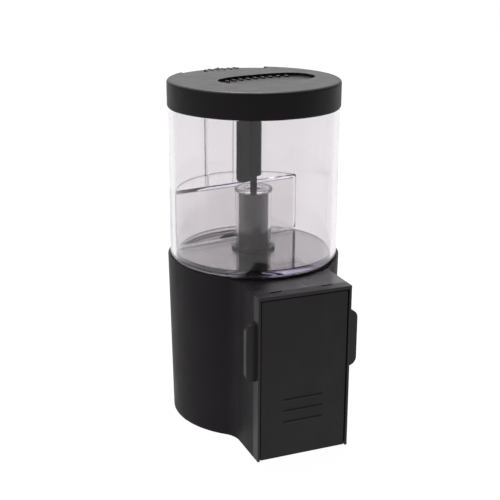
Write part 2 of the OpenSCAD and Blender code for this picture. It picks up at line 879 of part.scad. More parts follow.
base_housing();
bottom_cover();
cover_screws();
battery_frame();
battery_cover();
battery_tray();
battery_cells();
contact_plates();
contact_springs();
circuit_board();
tact_switch();
status_led();
feed_button();
motor();
motor_shaft();
motor_pinion();
motor_screws();
lower_gear_plate();
upper_gear_plate();
plate_spacers();
plate_screws();
gear_axle();
compound_gear();
output_gear();
drive_shaft();
shaft_clip();
shaft_bushings();
dosing_disc();
spindle();
spindle_sleeve();
stirrer();
outlet_chute();
hopper();
hopper_seal();
lid();
lid_seal();
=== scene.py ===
"""Looks of an automatic fish feeder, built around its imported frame.

Shapes are made in millimetres in the frame's own axes, and turned into metres when a piece is placed.
"""

import math

import bmesh
import bpy
from mathutils import Matrix, Vector


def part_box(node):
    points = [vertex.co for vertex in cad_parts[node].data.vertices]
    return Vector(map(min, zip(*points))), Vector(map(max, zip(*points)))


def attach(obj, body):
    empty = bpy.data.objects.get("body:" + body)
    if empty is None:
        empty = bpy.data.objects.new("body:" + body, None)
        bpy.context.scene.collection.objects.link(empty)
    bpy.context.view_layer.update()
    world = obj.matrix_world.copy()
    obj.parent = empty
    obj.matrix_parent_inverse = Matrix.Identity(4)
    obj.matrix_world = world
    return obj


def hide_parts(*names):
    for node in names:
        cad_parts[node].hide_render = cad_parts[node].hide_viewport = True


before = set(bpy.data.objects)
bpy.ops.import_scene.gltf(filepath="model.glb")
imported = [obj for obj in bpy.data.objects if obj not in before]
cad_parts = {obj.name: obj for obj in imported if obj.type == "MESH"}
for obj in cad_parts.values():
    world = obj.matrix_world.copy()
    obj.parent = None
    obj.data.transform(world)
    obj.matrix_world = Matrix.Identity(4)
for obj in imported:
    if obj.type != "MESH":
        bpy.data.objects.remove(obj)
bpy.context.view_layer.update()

MM = 0.001


# ---------------------------------------------------------------- sizes, read from the frame

def span(node):
    """Lowest and highest corner of a CAD node, in millimetres."""
    low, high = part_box(node)
    return low / MM, high / MM


_, BASE_HIGH = span("base_housing")
FRAME_LOW, FRAME_HIGH = span("battery_frame")
COVER_LOW, COVER_HIGH = span("battery_cover")
_, TRAY_HIGH = span("battery_tray")
CELLS_LOW, CELLS_HIGH = span("battery_cells")
HOPPER_LOW, HOPPER_HIGH = span("hopper")
LID_LOW, _ = span("lid")
DISC_LOW, DISC_HIGH = span("dosing_disc")
_, SPINDLE_HIGH = span("spindle")
_, SLEEVE_HIGH = span("spindle_sleeve")
STIRRER_LOW, STIRRER_HIGH = span("stirrer")
CHUTE_LOW, CHUTE_HIGH = span("outlet_chute")
BUTTON_LOW, BUTTON_HIGH = span("feed_button")
LIGHT_LOW, LIGHT_HIGH = span("status_led")
_, SHAFT_HIGH = span("drive_shaft")

# Round base
RIM_R = BASE_HIGH.x
RIM_Z = BASE_HIGH.z
FOOT_R = RIM_R - 1.35
BASE_WALL = 2.2
BOTTOM_T = 2.4
DECK_TOP = RIM_Z - 0.3
DECK_UNDER = DECK_TOP - 3
GROOVE_FLOOR = DECK_TOP - 4.9
GROOVE_OUT_R = 36.75
GROOVE_IN_R = 34.5
COLLAR_UNDER = GROOVE_FLOOR - 2.5
COLLAR_R = GROOVE_IN_R - 1
FILLET_R = 10

# Battery box
BOX_X = 20.85
BOX_TOP = FRAME_HIGH.z
BOX_WALL = 1.8
SEAM_Y = FRAME_HIGH.y
FRONT_Y = FRAME_LOW.y
EAR_MID = 48.5
EAR_H = 25
EAR_BACK = SEAM_Y
EAR_FRONT = SEAM_Y - 2.6
COVER_X = COVER_HIGH.x
RIB_PROUD = 0.35
COVER_FRONT = COVER_LOW.y + RIB_PROUD
COVER_BACK = COVER_FRONT + 1.55
COVER_GAP = 0.5
GUIDE_X = COVER_X - 1
WINDOW_X = GUIDE_X - 1.35
SLOT_X = 11.3
GRIP_RIBS = 3
GRIP_W = 18.2
GRIP_LOW_Z = 15.8
GRIP_PITCH = 5.1

# Hopper
HOPPER_R = HOPPER_HIGH.x
HOPPER_WALL = 2.3
HOPPER_IN_R = HOPPER_R - HOPPER_WALL
HOPPER_TURN = math.radians(8.5)
CHAMBER_Y = 13.6
CHAMBER_TOP = SLEEVE_HIGH.z - 1.1
CHAMBER_WALL = 1.8
ROOF_T = 1.6
NECK_R = 36
PLUG_R = HOPPER_IN_R - 0.3
SHOULDER_GAP = 0.15
RIB_TURNS = (-15, 10)

# Lid
LID_TURN = math.radians(5)
LID_R = 37.5
LID_FOOT = HOPPER_HIGH.z - 6
LID_TOP = LID_FOOT + 11.2
LID_UNDER = LID_TOP - 2.8
LID_EDGE = 1.3
LID_BOSS_R = 5.5
RECESS_L = 45.2
RECESS_W = 23.4
RECESS_D = 1.5
RECESS_X = 5.25
RECESS_Y = -2.05
RECESS_TURN = math.radians(10)
RECESS_POWER = 2.65
RECESS_RIBS = 9
RECESS_RIB_PITCH = 3.8
RECESS_RIB_L = 3
RECESS_RIB_W = 1.5
RECESS_RIB_GAP = 0.6
THUMB_X = 21
THUMB_Y = 26
THUMB_D = 0.8
TAB_X = 8.8
TAB_Y = 32.8
TAB_RIBS = 5
TAB_RIB_L = 4.6
TAB_RIB_W = 1.1
TAB_RIB_PITCH = 3.1

# Dosing and stirring
DISC_R = DISC_HIGH.x
DISC_TOP = DISC_HIGH.z
OUTLET_Y = (CHUTE_LOW.y + CHUTE_HIGH.y) / 2
CHUTE_R = 6.6
SHAFT_R = SHAFT_HIGH.x
SPINDLE_R = SPINDLE_HIGH.x
SLEEVE_R = 8.1
SLEEVE_FOOT_R = SLEEVE_HIGH.x
SLEEVE_COLLAR_R = 8.4
STIRRER_TURN = math.radians(202)
BLADE_OUT = 9.4
BLADE_T = 2.2
BLADE_FOOT = 106.8
BLADE_TOP = 137.5
JOURNAL_R = 2.5
PLUG_STEM_R = 3
STEM_LOW_R = 1.5
STEM_HIGH_R = 3.4
STEM_STEP = 109
SLEEVE_HOLE_R = 3.9

# Controls
BUTTON_Z = (BUTTON_LOW.z + BUTTON_HIGH.z) / 2
BUTTON_R = 4.5
LIGHT_Z = (LIGHT_LOW.z + LIGHT_HIGH.z) / 2
LIGHT_R = (LIGHT_HIGH.y - LIGHT_LOW.y) / 2

# Camera, in metres and radians, and the point that the lights face
CAMERA_PLACE = (-0.17311, -0.41571, 0.21946)
CAMERA_AZIMUTH = math.radians(-22.42)
CAMERA_PITCH = math.radians(17.903)
CAMERA_ROLL = math.radians(0.222)
CAMERA_LENS = 75.67
MIDDLE = Vector((0, 0, 0.075))

# Points round a large turned shape
ROUND_STEPS = 144


# ---------------------------------------------------------------- mesh tools

def corner_arc(before, corner, after, radius, steps):
    """Points of the arc that rounds one corner of an outline."""
    corner = Vector(corner)
    back = (Vector(before) - corner).normalized()
    ahead = (Vector(after) - corner).normalized()
    half = back.angle(ahead) / 2
    centre = corner + (back + ahead).normalized() * radius / math.sin(half)
    reach = radius / math.tan(half)
    first = corner + back * reach - centre
    last = corner + ahead * reach - centre
    start = math.atan2(first.y, first.x)
    sweep = (math.atan2(last.y, last.x) - start + math.pi) % math.tau - math.pi
    turns = [start + sweep * i / steps for i in range(steps + 1)]
    return [(centre.x + radius * math.cos(t), centre.y + radius * math.sin(t)) for t in turns]


def rounded(corners, closed=True, steps=4):
    """An outline from corners (x, y, radius), each rounded by its radius."""
    points = []
    last = len(corners) - 1
    for i, (x, y, radius) in enumerate(corners):
        if radius == 0 or (not closed and i in (0, last)):
            points.append((x, y))
            continue
        before = corners[i - 1][:2]
        after = corners[(i + 1) % len(corners)][:2]
        points += corner_arc(before, (x, y), after, radius, steps)
    return points


def stadium(length, width, inset, steps):
    """A slot shape with round ends along X."""
    straight = (length - width) / 2
    radius = width / 2 - inset
    points = []
    for side, start in ((1, -math.pi / 2), (-1, math.pi / 2)):
        for i in range(steps + 1):
            turn = start + math.pi * i / steps
            points.append((side * straight + radius * math.cos(turn), radius * math.sin(turn)))
    return points


def rectangle(x_low, x_high, y_low, y_high):
    return [(x_low, y_low), (x_high, y_low), (x_high, y_high), (x_low, y_high)]


def loft(sections):
    """A solid through outlines of equal length, each a list of 3-D points, capped at both ends."""
    bm = bmesh.new()
    rings = [[bm.verts.new(p) for p in section] for section in sections]
    count = len(rings[0])
    for low, high in zip(rings, rings[1:]):
        for i in range(count):
            j = (i + 1) % count
            bm.faces.new((low[i], low[j], high[j], high[i]))
    bm.faces.new(rings[0])
    bm.faces.new(rings[-1])
    bmesh.ops.recalc_face_normals(bm, faces=bm.faces)
    return bm


def prism(outline, z_low, z_high):
    return loft([[(x, y, z) for x, y in outline] for z in (z_low, z_high)])


def block(low, high):
    return prism(rectangle(low[0], high[0], low[1], high[1]), low[2], high[2])


def revolve(profile, closed=True, steps=ROUND_STEPS):
    """A solid turned about Z from (radius, height) points. An open profile gets a flat cap at each end."""
    bm = bmesh.new()
    turns = [math.tau * i / steps for i in range(steps)]
    rings = [[bm.verts.new((r * math.cos(t), r * math.sin(t), z)) for t in turns] for r, z in profile]
    pairs = list(zip(rings, rings[1:]))
    if closed:
        pairs.append((rings[-1], rings[0]))
    for low, high in pairs:
        for i in range(steps):
            j = (i + 1) % steps
            bm.faces.new((low[i], low[j], high[j], high[i]))
    if not closed:
        bm.faces.new(rings[0])
        bm.faces.new(rings[-1])
    bmesh.ops.recalc_face_normals(bm, faces=bm.faces)
    return bm


def cylinder(radius, z_low, z_high, steps=64):
    return revolve([(radius, z_low), (radius, z_high)], closed=False, steps=steps)


def rounded_rib(length, width, height, edge):
    """A low rib along X with round ends and a rounded top, standing on z = 0."""
    levels = [(0, 0), (0, height - edge)]
    levels += [(edge * (1 - math.cos(t)), height - edge + edge * math.sin(t))
               for t in (math.radians(a) for a in (30, 60, 90))]
    return loft([[(x, y, z) for x, y in stadium(length, width, inset, 8)] for inset, z in levels])


def moved(bm, matrix):
    bmesh.ops.transform(bm, matrix=matrix, verts=bm.verts)
    return bm


def at(x=0.0, y=0.0, z=0.0, turn=0.0, axis="Z"):
    return Matrix.Translation((x, y, z)) @ Matrix.Rotation(turn, 4, axis)


def along_x(bm, x=0.0, y=0.0, z=0.0):
    """Lays a shape made along Z down along +X, from the given point."""
    return moved(bm, at(x, y, z, math.pi / 2, "Y"))


def joined(shapes):
    """One mesh that holds several separate shapes."""
    whole = bmesh.new()
    for bm in shapes:
        part = bpy.data.meshes.new("part")
        bm.to_mesh(part)
        bm.free()
        whole.from_mesh(part)
        bpy.data.meshes.remove(part)
    return whole


def as_object(bm, name):
    mesh = bpy.data.meshes.new(name)
    bm.to_mesh(mesh)
    bm.free()
    obj = bpy.data.objects.new(name, mesh)
    bpy.context.scene.collection.objects.link(obj)
    return obj


def apply_modifiers(obj):
    """Turns the object's modifiers into its mesh."""
    graph = bpy.context.evaluated_depsgraph_get()
    graph.update()
    made = bpy.data.meshes.new_from_object(obj.evaluated_get(graph))
    made.name = obj.name
    old = obj.data
    obj.modifiers.clear()
    obj.data = made
    bpy.data.meshes.remove(old)


def combine(obj, bm, operation="DIFFERENCE"):
    """Cuts a shape from an object, or joins it on."""
    tool = as_object(bm, "tool")
    modifier = obj.modifiers.new("combine", "BOOLEAN")
    modifier.operation = operation
    modifier.solver = "EXACT"
    modifier.object = tool
    apply_modifiers(obj)
    old = tool.data
    bpy.data.objects.remove(tool)
    bpy.data.meshes.remove(old)


def tidy_mesh(obj, reach=0.002):
    """Merges doubled points and drops what has no area."""
    bm = bmesh.new()
    bm.from_mesh(obj.data)
    bmesh.ops.remove_doubles(bm, verts=bm.verts, dist=reach)
    bmesh.ops.dissolve_degenerate(bm, edges=bm.edges, dist=reach)
    bm.to_mesh(obj.data)
    bm.free()


def soften_edges(obj, width, segments=3, angle=38):
    """Rounds every sharp edge."""
    tidy_mesh(obj)
    modifier = obj.modifiers.new("soften", "BEVEL")
    modifier.width = width
    modifier.segments = segments
    modifier.limit_method = "ANGLE"
    modifier.angle_limit = math.radians(angle)
    modifier.use_clamp_overlap = True
    modifier.miter_outer = "MITER_ARC"
    apply_modifiers(obj)


def shade(obj, angle=32):
    """Smooth shading that keeps flat faces flat."""
    obj.data.shade_smooth()
    obj.data.set_sharp_from_angle(angle=math.radians(angle))
    modifier = obj.modifiers.new("even_normals", "WEIGHTED_NORMAL")
    modifier.keep_sharp = True


def place(obj, body, slot, material, *nodes):
    """Turns a finished shape into metres, and puts it on its body in place of its CAD nodes."""
    obj.data.transform(Matrix.Scale(MM, 4))
    obj.data.materials.clear()
    obj.data.materials.append(material)
    shade(obj)
    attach(obj, body)
    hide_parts(*nodes)


# ---------------------------------------------------------------- material tools

class Recipe:
    """A node material with one Principled shader, and short ways to add to it."""

    def __init__(self, name, **values):
        self.material = bpy.data.materials.new(name)
        self.material.use_nodes = True
        self.nodes = self.material.node_tree.nodes
        self.links = self.material.node_tree.links
        self.shader = self.nodes["Principled BSDF"]
        self.output = self.nodes["Material Output"]
        self.place = self.add("ShaderNodeTexCoord").outputs["Object"]
        for socket, value in values.items():
            self.set(socket.replace("_", " ").title().replace("Ior", "IOR"), value)

    def set(self, socket, value):
        self.shader.inputs[socket].default_value = value

    def add(self, kind, **settings):
        node = self.nodes.new(kind)
        for key, value in settings.items():
            setattr(node, key, value)
        return node

    def link(self, source, target):
        self.links.new(source, target)

    def noise(self, grain, detail=3.0, roughness=0.5, stretch=(1, 1, 1)):
        """Noise whose features are about grain metres across."""
        mapping = self.add("ShaderNodeMapping")
        mapping.inputs["Scale"].default_value = [s / grain for s in stretch]
        self.link(self.place, mapping.inputs["Vector"])
        node = self.add("ShaderNodeTexNoise")
        node.inputs["Scale"].default_value = 1.0
        node.inputs["Detail"].default_value = detail
        node.inputs["Roughness"].default_value = roughness
        self.link(mapping.outputs["Vector"], node.inputs["Vector"])
        return node.outputs["Fac"]

    def ranged(self, value, low, high, first=0.3, last=0.7):
        """The value spread between low and high."""
        node = self.add("ShaderNodeMapRange")
        for socket, number in (("From Min", first), ("From Max", last), ("To Min", low), ("To Max", high)):
            node.inputs[socket].default_value = number
        self.link(value, node.inputs["Value"])
        return node.outputs["Result"]

    def mixed(self, value, dark, light):
        """A colour between two, by the value."""
        node = self.add("ShaderNodeMix", data_type="RGBA")
        node.inputs["A"].default_value = (*dark, 1)
        node.inputs["B"].default_value = (*light, 1)
        self.link(value, node.inputs["Factor"])
        return node.outputs["Result"]

    def colour(self, source):
        self.link(source, self.shader.inputs["Base Color"])

    def roughness(self, source):
        self.link(source, self.shader.inputs["Roughness"])

    def bump(self, height, depth, under=None):
        """Relief of the given depth in metres. Under is a coarser relief that it lies on."""
        node = self.add("ShaderNodeBump")
        node.inputs["Strength"].default_value = 1.0
        node.inputs["Distance"].default_value = depth
        self.link(height, node.inputs["Height"])
        if under is not None:
            self.link(under, node.inputs["Normal"])
        self.link(node.outputs["Normal"], self.shader.inputs["Normal"])
        return node.outputs["Normal"]


def moulded_plastic(name, dark, light, rough, grain, depth, **values):
    """Moulded plastic with a fine spark-eroded grain, faint flow marks and handling haze."""
    recipe = Recipe(name, **values)
    clouds = recipe.noise(0.018, detail=5, roughness=0.6)
    recipe.colour(recipe.mixed(recipe.ranged(clouds, 0, 1), dark, light))
    haze = recipe.noise(0.006, detail=6, roughness=0.65, stretch=(1, 1, 0.45))
    recipe.roughness(recipe.ranged(haze, rough[0], rough[1]))
    waves = recipe.bump(recipe.noise(0.012, detail=1), 0.00006)
    recipe.bump(recipe.noise(grain, detail=2, roughness=0.6), depth, under=waves)
    return recipe.material


def clear_plastic(name):
    """Clear moulded polystyrene, faintly violet in its thick places."""
    recipe = Recipe(name, base_color=(0.866, 0.848, 0.85, 1), transmission_weight=1.0, ior=1.5)
    haze = recipe.noise(0.009, detail=5, roughness=0.6, stretch=(1, 1, 0.6))
    recipe.roughness(recipe.ranged(haze, 0.015, 0.05))
    recipe.bump(recipe.noise(0.02, detail=1), 0.00008)
    volume = recipe.add("ShaderNodeVolumeAbsorption")
    volume.inputs["Color"].default_value = (0.68, 0.64, 0.86, 1)
    volume.inputs["Density"].default_value = 27.0
    recipe.link(volume.outputs["Volume"], recipe.output.inputs["Volume"])
    return recipe.material


def metal(name, colour, rough):
    """Turned or drawn metal with fine tool marks."""
    recipe = Recipe(name, metallic=1.0)
    marks = recipe.noise(0.0006, detail=4, roughness=0.6)
    dark = tuple(c * 0.82 for c in colour)
    recipe.colour(recipe.mixed(recipe.ranged(marks, 0, 1), dark, colour))
    recipe.roughness(recipe.ranged(marks, rough[0], rough[1]))
    recipe.bump(marks, 0.000004)
    return recipe.material


def cell_wrap(name, low, high):
    """Plain grey wrap with a paler band at the nub, which is at the top only where X is negative."""
    recipe = Recipe(name, roughness=0.3)
    split = recipe.add("ShaderNodeSeparateXYZ")
    recipe.link(recipe.place, split.inputs["Vector"])
    above = recipe.add("ShaderNodeMath", operation="SUBTRACT")
    above.inputs[1].default_value = (low + high) / 2 * MM
    recipe.link(split.outputs["Z"], above.inputs[0])
    side = recipe.add("ShaderNodeMath", operation="SIGN")
    recipe.link(split.outputs["X"], side.inputs[0])
    along = recipe.add("ShaderNodeMath", operation="MULTIPLY")
    recipe.link(above.outputs["Value"], along.inputs[0])
    recipe.link(side.outputs["Value"], along.inputs[1])
    half = (high - low) / 2 * MM
    bands = recipe.add("ShaderNodeValToRGB")
    bands.color_ramp.interpolation = "CONSTANT"
    bands.color_ramp.elements[0].color = (0.5, 0.5, 0.52, 1)
    bands.color_ramp.elements[1].color = (0.5, 0.5, 0.52, 1)
    bands.color_ramp.elements[1].position = 0.985
    for edge, colour in ((0.025, (0.4, 0.4, 0.41, 1)), (0.22, (0.13, 0.13, 0.14, 1))):
        bands.color_ramp.elements.new(edge).color = colour
    recipe.link(recipe.ranged(along.outputs["Value"], 0, 1, -half, half), bands.inputs["Fac"])
    recipe.colour(bands.outputs["Color"])
    recipe.bump(recipe.noise(0.004, detail=2), 0.00002)
    return recipe.material


def circuit_material(name):
    """Green solder mask with copper runs showing faintly under it."""
    recipe = Recipe(name, roughness=0.32)
    runs = recipe.add("ShaderNodeTexBrick")
    mapping = recipe.add("ShaderNodeMapping")
    mapping.inputs["Rotation"].default_value = (0, math.pi / 2, 0)
    recipe.link(recipe.place, mapping.inputs["Vector"])
    recipe.link(mapping.outputs["Vector"], runs.inputs["Vector"])
    runs.inputs["Scale"].default_value = 160
    runs.inputs["Mortar Size"].default_value = 0.06
    runs.inputs["Color1"].default_value = (0.012, 0.1, 0.045, 1)
    runs.inputs["Color2"].default_value = (0.014, 0.12, 0.05, 1)
    runs.inputs["Mortar"].default_value = (0.05, 0.22, 0.08, 1)
    recipe.colour(runs.outputs["Color"])
    recipe.bump(runs.outputs["Fac"], 0.00003)
    return recipe.material


SHELL = moulded_plastic("black_shell", (0.0128, 0.011, 0.0128), (0.0165, 0.0143, 0.0165),
                        (0.42, 0.54), 0.00034, 0.000012, specular_ior_level=0.06)
FRAME = moulded_plastic("black_frame", (0.016, 0.0138, 0.0157), (0.0205, 0.0178, 0.0202),
                        (0.4, 0.5), 0.00034, 0.000012, specular_ior_level=0.25)
SATIN = moulded_plastic("black_satin", (0.0128, 0.011, 0.0128), (0.0165, 0.0143, 0.0165),
                        (0.26, 0.34), 0.00034, 0.000008, specular_ior_level=0.5)
COVER = moulded_plastic("black_cover", (0.0145, 0.0128, 0.0143), (0.0185, 0.0164, 0.0182),
                        (0.46, 0.58), 0.00036, 0.000012, specular_ior_level=0.2)
LID = moulded_plastic("black_lid", (0.0112, 0.0098, 0.011), (0.0142, 0.0124, 0.0139),
                      (0.4, 0.5), 0.0003, 0.00001, specular_ior_level=0.1)
GLOSS = moulded_plastic("gloss_black", (0.004, 0.0038, 0.0042), (0.006, 0.0056, 0.006),
                        (0.04, 0.09), 0.0008, 0.000002, specular_ior_level=1.0,
                        coat_weight=1.0, coat_roughness=0.03)
SPINDLE = moulded_plastic("spindle_grey", (0.2, 0.178, 0.192), (0.235, 0.21, 0.225),
                          (0.08, 0.14), 0.0004, 0.000003, specular_ior_level=0.5)
STIRRER = moulded_plastic("stirrer_black", (0.0095, 0.0088, 0.0108), (0.0135, 0.0126, 0.015),
                          (0.34, 0.44), 0.0004, 0.000008, specular_ior_level=0.1)
GREY = moulded_plastic("grey_plastic", (0.06, 0.058, 0.06), (0.08, 0.077, 0.08),
                       (0.35, 0.5), 0.0004, 0.00001)
GEAR = moulded_plastic("gear_plastic", (0.72, 0.71, 0.66), (0.8, 0.79, 0.75),
                       (0.28, 0.4), 0.0005, 0.000006, subsurface_weight=0.05)
RUBBER = moulded_plastic("seal_rubber", (0.02, 0.02, 0.021), (0.03, 0.029, 0.03),
                         (0.6, 0.75), 0.0005, 0.00002)
CLEAR = clear_plastic("clear_plastic")
STEEL = metal("steel", (0.62, 0.62, 0.64), (0.18, 0.34))
BRASS = metal("brass", (0.72, 0.53, 0.24), (0.2, 0.36))
BOARD = circuit_material("board_green")
CELL = cell_wrap("cell_wrap", CELLS_LOW.z, CELLS_HIGH.z)
LENS = Recipe("light_pipe", base_color=(0.75, 0.16, 0.12, 1), transmission_weight=0.55,
              roughness=0.12).material


# ---------------------------------------------------------------- lid

def recess_reach(along):
    """Distance from the recess's long axis to its edge, at a distance along that axis."""
    share = 1 - abs(2 * along / RECESS_L) ** RECESS_POWER
    return RECESS_W / 2 * share ** (1 / RECESS_POWER)


def oval(inset, steps=96):
    """Outline of the finger recess, at a distance inside its edge."""
    power = 2 / RECESS_POWER
    points = []
    for i in range(steps):
        turn = math.tau * (i + 0.5) / steps
        x = math.copysign(abs(math.cos(turn)) ** power, math.cos(turn))
        y = math.copysign(abs(math.sin(turn)) ** power, math.sin(turn))
        points.append(((RECESS_L / 2 - inset) * x, (RECESS_W / 2 - inset) * y))
    return points


def make_lid():
    skirt_in_r = NECK_R + 0.4
    ring_foot = LID_FOOT + 1.5
    ring_in_r = PLUG_R - 1.6
    bearing_r = JOURNAL_R + 0.05
    bearing_top = LID_LOW.z + 6.5
    outer = rounded([
        (0.6, LID_TOP, 0), (LID_R, LID_TOP, LID_EDGE), (LID_R, LID_FOOT, 0.4),
        (skirt_in_r, LID_FOOT, 0.3), (skirt_in_r, LID_UNDER, 0.6),
        (PLUG_R, LID_UNDER, 0), (PLUG_R, ring_foot, 0.4),
        (ring_in_r, ring_foot, 0.4), (ring_in_r, LID_UNDER, 0.5),
        (LID_BOSS_R, LID_UNDER, 0.8), (LID_BOSS_R, LID_LOW.z, 0.5), (bearing_r, LID_LOW.z, 0.3),
        (bearing_r, bearing_top, 0), (0.6, bearing_top, 0)], closed=False, steps=5)
    lid = as_object(revolve(outer, closed=False), "lid_cap")
    combine(lid, cylinder(bearing_r, LID_LOW.z - 1, bearing_top))
    # Finger recess, whose wall has a soft foot
    recess = at(turn=-LID_TURN) @ at(RECESS_X, RECESS_Y, 0, RECESS_TURN)
    floor = LID_TOP - RECESS_D
    sections = []
    for inset, rise in ((0.4, 0), (0.2, 0.05), (0.05, 0.2), (0, 0.4), (0, RECESS_D + 1)):
        sections.append([(x, y, floor + rise) for x, y in oval(inset)])
    combine(lid, moved(loft(sections), recess))
    # Grip ribs along the foot of the recess's far wall
    ribs = []
    for i in range(RECESS_RIBS):
        along = (i - (RECESS_RIBS - 1) / 2) * RECESS_RIB_PITCH
        across = recess_reach(along) - RECESS_RIB_GAP - RECESS_RIB_L / 2
        rib = rounded_rib(RECESS_RIB_L, RECESS_RIB_W, 1.0, 0.4)
        ribs.append(moved(rib, recess @ at(along, across, floor - 0.3, math.pi / 2)))
    combine(lid, joined(ribs), "UNION")
    # Step at the rear, on both sides of the thumb tab
    for side in (-1, 1):
        step = rounded([
            (side * TAB_X, THUMB_Y, 1.2), (side * THUMB_X, THUMB_Y, 1.2),
            (side * THUMB_X, LID_R + 2, 0), (0, LID_R + 2, 0), (0, TAB_Y, 0),
            (side * TAB_X, TAB_Y, 1.2)])
        combine(lid, prism(step, LID_TOP - THUMB_D, LID_TOP + 1))
    marks = []
    for i in range(TAB_RIBS):
        rib = rounded_rib(TAB_RIB_L, TAB_RIB_W, 0.65, 0.35)
        x = (i - (TAB_RIBS - 1) / 2) * TAB_RIB_PITCH
        y = (THUMB_Y + TAB_Y) / 2 + 0.6
        marks.append(moved(rib, at(x, y, LID_TOP - 0.3, math.pi / 2)))
    combine(lid, joined(marks), "UNION")
    soften_edges(lid, 0.3)
    lid.data.transform(Matrix.Rotation(LID_TURN, 4, "Z"))
    place(lid, "lid", "black_lid", LID, "lid")


# ---------------------------------------------------------------- hopper

def make_hopper():
    foot = HOPPER_LOW.z
    foot_r = GROOVE_OUT_R - 0.2
    seat_z = RIM_Z + 0.1
    shoulder = LID_FOOT - SHOULDER_GAP
    profile = rounded([
        (foot_r, foot, 0.3), (foot_r, seat_z, 0),
        (HOPPER_R, seat_z, 0.25), (HOPPER_R, shoulder, 0.25), (NECK_R, shoulder, 0.1),
        (NECK_R, HOPPER_HIGH.z, 0.4), (HOPPER_IN_R, HOPPER_HIGH.z, 0.4), (HOPPER_IN_R, foot, 0.4)])
    jar = as_object(revolve(profile), "hopper_jar")
    # Outlet chamber: front wall and roof, as one bent slab
    grip_r = HOPPER_IN_R + 0.9
    wall_foot = DISC_TOP + 0.6
    wall_back = CHAMBER_Y + CHAMBER_WALL
    roof_under = CHAMBER_TOP - ROOF_T
    roof_end = HOPPER_R + 9
    bend = rounded([
        (CHAMBER_Y, wall_foot, 0.4), (CHAMBER_Y, CHAMBER_TOP, 1.0), (roof_end, CHAMBER_TOP, 0),
        (roof_end, roof_under, 0), (wall_back, roof_under, 0.6), (wall_back, wall_foot, 0.4)], steps=5)
    slab = as_object(loft([[(x, y, z) for y, z in bend] for x in (-HOPPER_R - 5, HOPPER_R + 5)]), "slab")
    limit = cylinder(grip_r, DISC_TOP - 1, CHAMBER_TOP + 1, steps=ROUND_STEPS)
    combine(slab, limit, "INTERSECT")
    chamber = bmesh.new()
    chamber.from_mesh(slab.data)
    bpy.data.objects.remove(slab)
    combine(jar, chamber, "UNION")
    # Two stiffening ribs on the rear wall
    ribs = []
    for turn in RIB_TURNS:
        rib = block((HOPPER_IN_R - 2, -0.5, CHAMBER_TOP - 0.4), (HOPPER_IN_R + 0.6, 0.5, shoulder - 3))
        ribs.append(moved(rib, at(turn=math.radians(90 + turn))))
    combine(jar, joined(ribs), "UNION")
    soften_edges(jar, 0.3)
    jar.data.transform(Matrix.Rotation(HOPPER_TURN, 4, "Z"))
    place(jar, "base", "clear_plastic", CLEAR, "hopper")


# ---------------------------------------------------------------- dosing disc, spindle, sleeve, stirrer

def make_disc():
    bore_r = SHAFT_R + 0.02
    plate = rounded([
        (bore_r, DISC_LOW.z, 0), (DISC_R, DISC_LOW.z, 0.3), (DISC_R, DISC_TOP, 0.4),
        (bore_r, DISC_TOP, 0)])
    disc = as_object(revolve(plate), "disc_plate")
    pocket_r = HOPPER_IN_R - 2.4
    front = CHAMBER_Y + 1.5
    reach = math.acos(front / pocket_r)
    steps = 48
    turns = [math.pi / 2 - reach + 2 * reach * i / steps for i in range(steps + 1)]
    outline = [(pocket_r * math.cos(t), pocket_r * math.sin(t)) for t in turns]
    combine(disc, moved(prism(outline, DISC_LOW.z - 1, DISC_TOP + 1), at(turn=HOPPER_TURN)))
    soften_edges(disc, 0.3)
    place(disc, "rotor", "clear_plastic", CLEAR, "dosing_disc")


def make_spindle():
    socket_r = PLUG_STEM_R + 0.02
    bore_r = SHAFT_R + 0.02
    bore_top = SHAFT_HIGH.z + 1.8
    profile = rounded([
        (bore_r, DISC_TOP, 0), (SPINDLE_R, DISC_TOP, 0.2), (SPINDLE_R, SPINDLE_HIGH.z, 0.6),
        (socket_r, SPINDLE_HIGH.z, 0.3), (socket_r, bore_top, 0), (bore_r, bore_top, 0)])
    post = as_object(revolve(profile, steps=96), "spindle_post")
    place(post, "rotor", "spindle_grey", SPINDLE, "spindle")


def make_sleeve():
    bore_r = SPINDLE_R + 0.35
    top = SLEEVE_HIGH.z
    foot_top = DISC_TOP + 1.2
    collar_foot = top - 1.3
    bore_top = top - 1.2
    profile = rounded([
        (bore_r, DISC_TOP, 0.3), (SLEEVE_FOOT_R, DISC_TOP, 0.3), (SLEEVE_FOOT_R, foot_top, 0.5),
        (SLEEVE_R, foot_top, 0.6), (SLEEVE_R, collar_foot, 0.3), (SLEEVE_COLLAR_R, collar_foot, 0.15),
        (SLEEVE_COLLAR_R, top, 0.5), (SLEEVE_HOLE_R, top, 0.4),
        (SLEEVE_HOLE_R, bore_top, 0.3), (bore_r, bore_top, 0.6)])
    tube = as_object(revolve(profile, steps=96), "sleeve_tube")
    place(tube, "rotor", "clear_plastic", CLEAR, "spindle_sleeve")


